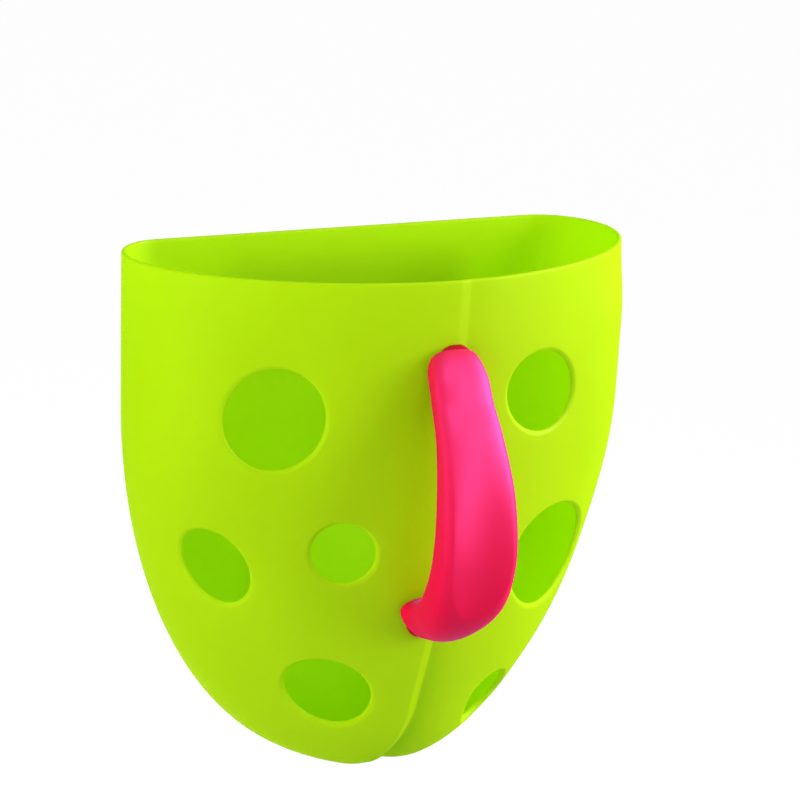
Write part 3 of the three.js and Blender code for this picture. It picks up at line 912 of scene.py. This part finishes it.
def curve_through(knots, along):
    """A point on a rounded curve through the knots, for a share of the way along it."""
    count = len(knots)
    place = clamp(along, 0.0, 1.0) * (count - 1)
    number = min(int(place), count - 2)
    weight = place - number
    second, third = knots[number], knots[number + 1]
    first = knots[number - 1] if number > 0 else second * 2 - third
    fourth = knots[number + 2] if number + 2 < count else third * 2 - second
    near_knots = (first, second, third, fourth)
    gaps = [max((after - before).length, 1e-6) ** 0.5 for before, after in zip(near_knots, near_knots[1:])]
    slope_in = knot_slope(first, second, third, gaps[0], gaps[1]) * gaps[1]
    slope_out = knot_slope(second, third, fourth, gaps[1], gaps[2]) * gaps[1]
    square = (third - second) * 3 - slope_in * 2 - slope_out
    cube = (second - third) * 2 + slope_in + slope_out
    return second + slope_in * weight + square * weight ** 2 + cube * weight ** 3


def handle_line_knot(drop, stand):
    down = handle_top + drop * handle_span
    out = pod_back + front_reach(0.0, pod_outline(down, 0.0)) + stand * handle_stand
    return Vector((0.0, -out, rim_height - down))


handle_line = [handle_line_knot(drop, stand) for drop, stand, _, _ in handle_knots]
handle_sizes = [
    Vector((width * handle_width, thick * handle_thickness, 0.0)) for _, _, width, thick in handle_knots
]
tangent_step = 0.0005
crown_reach = 0.20
middle_squareness = 2 / 3
end_squareness = 0.88
dish_depth = 4.0
dish_reach = 0.80
dish_start = 0.34
dish_full = 0.54
dish_turn = 0.54
dish_end = 0.64
dish_softness = 0.022
dish_side_start = 0.2
dish_side_full = 0.9
foot_start = 0.60
foot_full = 0.86
foot_narrowing = 0.62
foot_widening = 0.12


def dish_at(along, share):
    """How deep the thumb rest is scooped, at a share of the way down the grip and a share across it."""
    closing = max(along - dish_turn, 0.0) / (dish_end - dish_turn)
    room = 1.0 - (share / dish_reach) ** 2 - closing ** 2
    scoop = (room + math.sqrt(room * room + dish_softness ** 2)) / 2
    return dish_depth * smooth_step(dish_start, dish_full, along) * scoop


def handle_point(along, turn, inset, with_dish):
    """A point of the handle's skin: a share of the way along it, and an angle round its rounded section."""
    centre = curve_through(handle_line, along)
    ahead = curve_through(handle_line, along + tangent_step)
    tangent = (ahead - curve_through(handle_line, along - tangent_step)).normalized()
    outward = Vector((0.0, tangent.z, -tangent.y))
    size = curve_through(handle_sizes, along)
    foot = smooth_step(foot_start, foot_full, along)
    crown = 1.0 - smooth_step(0.0, crown_reach, along)
    squareness = lerp(middle_squareness, end_squareness, max(foot, crown))
    across = signed_power(math.cos(turn), squareness)
    rise = signed_power(math.sin(turn), squareness)
    flare = 1.0 - foot * lerp(-foot_widening, foot_narrowing, (rise + 1.0) / 2)
    half_width = size.x * flare / 2 - inset
    half_thick = size.y / 2 - inset
    sunk = 0.0
    if with_dish and rise > 0:
        sunk = dish_at(along, across) * smooth_step(dish_side_start, dish_side_full, rise)
    point = centre + outward * (rise * half_thick - sunk)
    point.x = across * half_width
    return point


def off_the_pod(point, standoff):
    """How far a point stands off the pod's front beyond the given standoff."""
    outline = pod_outline(rim_height - point.z, -standoff)
    return -point.y - (pod_back + front_reach(point.x, outline))


collar_thickness = 1.75
collar_edge = 0.7
collar_power = 2.4
collar_root = 0.4
collar_sides = 72
collar_inner_rings = (0.35, 0.7)
collar_least_half = 0.3


def handle_collar(name, middle, drop, half_across, half_down):
    """A thin oval plate that follows the pod's front, with its outer edge rounded over."""
    levels = [(0.0, -collar_root), (0.0, collar_thickness - collar_edge)]
    for step in range(1, 6):
        angle = quarter_turn(step, 5)
        height = collar_thickness - collar_edge * (1 - math.sin(angle))
        levels.append((collar_edge * (1 - math.cos(angle)), height))
    for inwards in collar_inner_rings:
        levels.append((collar_edge + (half_across - collar_edge) * inwards, collar_thickness))
    points = []
    for inset, height in levels:
        for step in range(collar_sides):
            angle = step / collar_sides * math.tau
            across = middle + (half_across - inset) * signed_power(math.cos(angle), 2 / collar_power)
            half_ring = max(half_down - inset, collar_least_half)
            down = drop + half_ring * signed_power(math.sin(angle), 2 / collar_power)
            points.append(smooth_front(across, down) + front_normal(across, down) * height)
    return mesh_piece(name, points, tube_faces(len(levels), collar_sides), core_plastic)


def hard_red_plastic():
    material, output, add, link = new_material("red_core_plastic")
    place = add("ShaderNodeTexCoord").outputs["Object"]
    clouds = noise_over(add, link, place, Scale=70.0, Detail=2.0, Roughness=0.5)
    tone = two_tones(add, (0.40, 0.006, 0.010, 1.0), (0.52, 0.010, 0.016, 1.0))
    dull = add("ShaderNodeMapRange", From_Min=0.3, From_Max=0.7, To_Min=0.42, To_Max=0.54)
    dents = add("ShaderNodeBump", Strength=0.3, Distance=0.00005)
    grain = noise_over(add, link, place, Scale=1400.0, Detail=2.0, Roughness=0.6)
    shader = add("ShaderNodeBsdfPrincipled")
    shader.inputs["Specular IOR Level"].default_value = 0.1
    join_skin(link, shader, (clouds, tone), (clouds, dull), (grain, dents))
    link(shader.outputs["BSDF"], output.inputs["Surface"])
    return material


core_plastic = hard_red_plastic()
core_rings = 60
core_sides = 36
core_start = 0.10
core_end = 0.93
core_inset = 3.2
core_points = []
for ring in range(core_rings + 1):
    along = lerp(core_start, core_end, ring / core_rings)
    for side in range(core_sides):
        core_points.append(handle_point(along, side / core_sides * math.tau, core_inset, True))
core_faces = tube_faces(core_rings + 1, core_sides)
core = mesh_piece("core_bar", core_points, core_faces, core_plastic)
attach(core, "scoop")
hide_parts("handle_core")

upper_collar = handle_collar(
    "collar_upper", middle=1.2, drop=handle_top - 1.9, half_across=8.4, half_down=9.3
)
handle_bottom = handle_top + handle_span
lower_collar = handle_collar(
    "collar_lower", middle=0.6, drop=handle_bottom - 1.0, half_across=10.6, half_down=9.2
)
for collar in (upper_collar, lower_collar):
    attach(collar, "scoop")


# The grip: a soft pink rubber sleeve moulded over the core, bowed away from the pod to let the fingers in.
# Its front has a dished thumb rest low down, and both ends are cut to the pod's curve and rounded over.
def soft_pink_rubber():
    material, output, add, link = new_material("pink_soft_grip")
    place = add("ShaderNodeTexCoord").outputs["Object"]
    clouds = noise_over(add, link, place, Scale=26.0, Detail=2.0, Roughness=0.5)
    tone = two_tones(add, (0.830, 0.003, 0.033, 1.0), (0.870, 0.005, 0.048, 1.0))
    grain = noise_over(add, link, place, Scale=1700.0, Detail=3.0, Roughness=0.65)
    patches = noise_over(add, link, place, Scale=120.0, Detail=2.0, Roughness=0.5)
    dull = add("ShaderNodeMapRange", From_Min=0.3, From_Max=0.7, To_Min=0.50, To_Max=0.60)
    dents = add("ShaderNodeBump", Strength=0.4, Distance=0.00005)
    shader = add("ShaderNodeBsdfPrincipled")
    shader.inputs["Specular IOR Level"].default_value = 0.0
    shader.inputs["Sheen Weight"].default_value = 0.30
    shader.inputs["Sheen Roughness"].default_value = 0.34
    shader.inputs["Sheen Tint"].default_value = (1.0, 0.35, 1.0, 1.0)
    shader.inputs["Subsurface Weight"].default_value = 0.2
    shader.inputs["Subsurface Radius"].default_value = (1.0, 0.2, 0.3)
    shader.inputs["Subsurface Scale"].default_value = 0.003
    satin = add("ShaderNodeBsdfGlossy", Color=(1.0, 0.26, 1.0, 1.0), Roughness=0.52)
    height = add("ShaderNodeSeparateXYZ")
    gloss_share = add("ShaderNodeMapRange", From_Min=-0.125, From_Max=-0.02, To_Min=0.014, To_Max=0.14)
    both = add("ShaderNodeMixShader")
    join_skin(link, shader, (clouds, tone), (patches, dull), (grain, dents))
    link(dents.outputs["Normal"], satin.inputs["Normal"])
    link(place, height.inputs["Vector"])
    link(height.outputs["Z"], gloss_share.inputs["Value"])
    link(gloss_share.outputs["Result"], both.inputs["Fac"])
    link(shader.outputs["BSDF"], both.inputs[1])
    link(satin.outputs["BSDF"], both.inputs[2])
    link(both.outputs["Shader"], output.inputs["Surface"])
    return material


grip_rubber = soft_pink_rubber()
grip_standoff = 1.8
grip_edge = 1.1
grip_length = 168.0
grip_rings = 180
grip_sides = 144
grip_edge_steps = 6
grip_search_rounds = 34
grip_start_latest = 0.35
grip_end_earliest = 0.72


def grip_end(turn, low, high, rising):
    """How far along the handle one line of the grip meets its standoff from the pod."""
    for _ in range(grip_search_rounds):
        middle = (low + high) / 2
        clear = off_the_pod(handle_point(middle, turn, 0.0, False), grip_standoff) > 0
        if clear == rising:
            high = middle
        else:
            low = middle
    return (low + high) / 2


grip_turns = [side / grip_sides * math.tau for side in range(grip_sides)]
grip_starts = [grip_end(turn, 0.0, grip_start_latest, True) for turn in grip_turns]
grip_ends = [grip_end(turn, grip_end_earliest, 1.0, False) for turn in grip_turns]
edge_rows = []
for step in range(1, grip_edge_steps + 1):
    angle = quarter_turn(step, grip_edge_steps)
    shift = grip_edge * (1 - math.sin(angle)) / grip_length
    edge_rows.append((shift, grip_edge * (1 - math.cos(angle))))
grip_rows = [(0.0, shift, inset) for shift, inset in reversed(edge_rows)]
for ring in range(grip_rings + 1):
    near_start = grip_edge / grip_length * (1 - ring / grip_rings)
    near_end = grip_edge / grip_length * ring / grip_rings
    grip_rows.append((ring / grip_rings, near_start - near_end, 0.0))
grip_rows += [(1.0, -shift, inset) for shift, inset in edge_rows]

grip_points = []
for share, shift, inset in grip_rows:
    for side in range(grip_sides):
        along = lerp(grip_starts[side], grip_ends[side], share) + shift
        grip_points.append(handle_point(along, grip_turns[side], inset, True))
grip_faces = tube_faces(len(grip_rows), grip_sides)
grip = mesh_piece("grip", grip_points, grip_faces, grip_rubber)
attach(grip, "scoop")
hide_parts("handle_grip")


# The wall plate: a flat lime moulding with rounded corners and two hooks that turn up behind the sockets.
# It stays on the wall, and the pod lifts off it.
plate_plastic = lime_plastic(
    "plate_plastic",
    bright=(0.585, 0.740, 0.004, 1.0),
    deep=(0.540, 0.690, 0.003, 1.0),
    cloud_size=16.0,
)
plate_width = 124.0
plate_height = 48.0
plate_thickness = 3.5
plate_corner = 10.0
plate_edge = 1.0
hook_edge = 0.8
slab_corner_steps = 8


def rounded_slab(name, width, height, corner, near, far, across, edge, material):
    """A flat slab with rounded corners and softened edges, near and far being distances from the wall."""
    outline = []
    for centre_x, centre_z, start in ((1, 1, 0), (-1, 1, 90), (-1, -1, 180), (1, -1, 270)):
        for step in range(slab_corner_steps + 1):
            angle = math.radians(start + step * 90 / slab_corner_steps)
            outline.append((
                across + centre_x * (width / 2 - corner) + corner * math.cos(angle),
                centre_z * (height / 2 - corner) + corner * math.sin(angle),
            ))
    points = [(x, -near, z) for x, z in outline] + [(x, -far, z) for x, z in outline]
    count = len(outline)
    faces = [tuple(range(count)), tuple(range(count, 2 * count))]
    for step in range(count):
        after = (step + 1) % count
        faces.append((step, after, after + count, step + count))
    slab = mesh_piece(name, points, faces, material)
    round_edges(slab, edge, segments=4).angle_limit = math.radians(50)
    return slab


plate = rounded_slab(
    "plate", plate_width, plate_height, plate_corner,
    plate_front - plate_thickness, plate_front, 0.0, plate_edge, plate_plastic,
)
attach(plate, "wall_mount")
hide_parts("wall_plate")
hook_back = socket_outer + socket_wall + seat_gap
for side, side_name in ((-1, "left"), (1, "right")):
    middle = side * hook_spacing / 2
    xs = [middle - hook_width / 2, middle + hook_width / 2]
    ys = [-(hook_back + hook_thickness), -hook_back, -(plate_front - plate_thickness / 2)]
    zs = [-hook_height / 2, -hook_height / 2 + hook_arm, hook_height / 2]
    filled = {(0, 0, 0), (0, 0, 1), (0, 1, 0)}
    hook = blocks_piece("hook_" + side_name, xs, ys, zs, filled, plate_plastic, hook_edge)
    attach(hook, "wall_mount")


# The adhesive strips: three pads of white closed-cell foam, sticky on both faces. They hold the plate to the
# tiles. Their skins are smooth, and their fine bubbles show as a faint mottling.
def white_foam():
    material, output, add, link = new_material("white_foam")
    place = add("ShaderNodeTexCoord").outputs["Object"]
    bubbles = add("ShaderNodeTexVoronoi", Scale=1500.0)
    clouds = noise_over(add, link, place, Scale=140.0, Detail=3.0, Roughness=0.6)
    tone = two_tones(add, (0.78, 0.78, 0.75, 1.0), (0.86, 0.86, 0.84, 1.0))
    dull = add("ShaderNodeMapRange", From_Min=0.2, From_Max=0.8, To_Min=0.62, To_Max=0.8)
    dents = add("ShaderNodeBump", Strength=0.5, Distance=0.00012)
    shader = add("ShaderNodeBsdfPrincipled")
    shader.inputs["Specular IOR Level"].default_value = 0.3
    link(place, bubbles.inputs["Vector"])
    join_skin(link, shader, (clouds, tone), (clouds, dull), (bubbles.outputs["Distance"], dents))
    link(shader.outputs["BSDF"], output.inputs["Surface"])
    return material


strip_foam = white_foam()
strip_width = 28.0
strip_height = 38.0
strip_thickness = 1.2
strip_pitch = 38.0
strip_corner = 3.0
strip_edge = 0.25
for number, strip_name in ((-1, "left"), (0, "centre"), (1, "right")):
    strip = rounded_slab(
        "foam_strip_" + strip_name, strip_width, strip_height, strip_corner,
        0.0, strip_thickness, number * strip_pitch, strip_edge, strip_foam,
    )
    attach(strip, "wall_mount")
    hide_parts("adhesive_strip_" + strip_name)
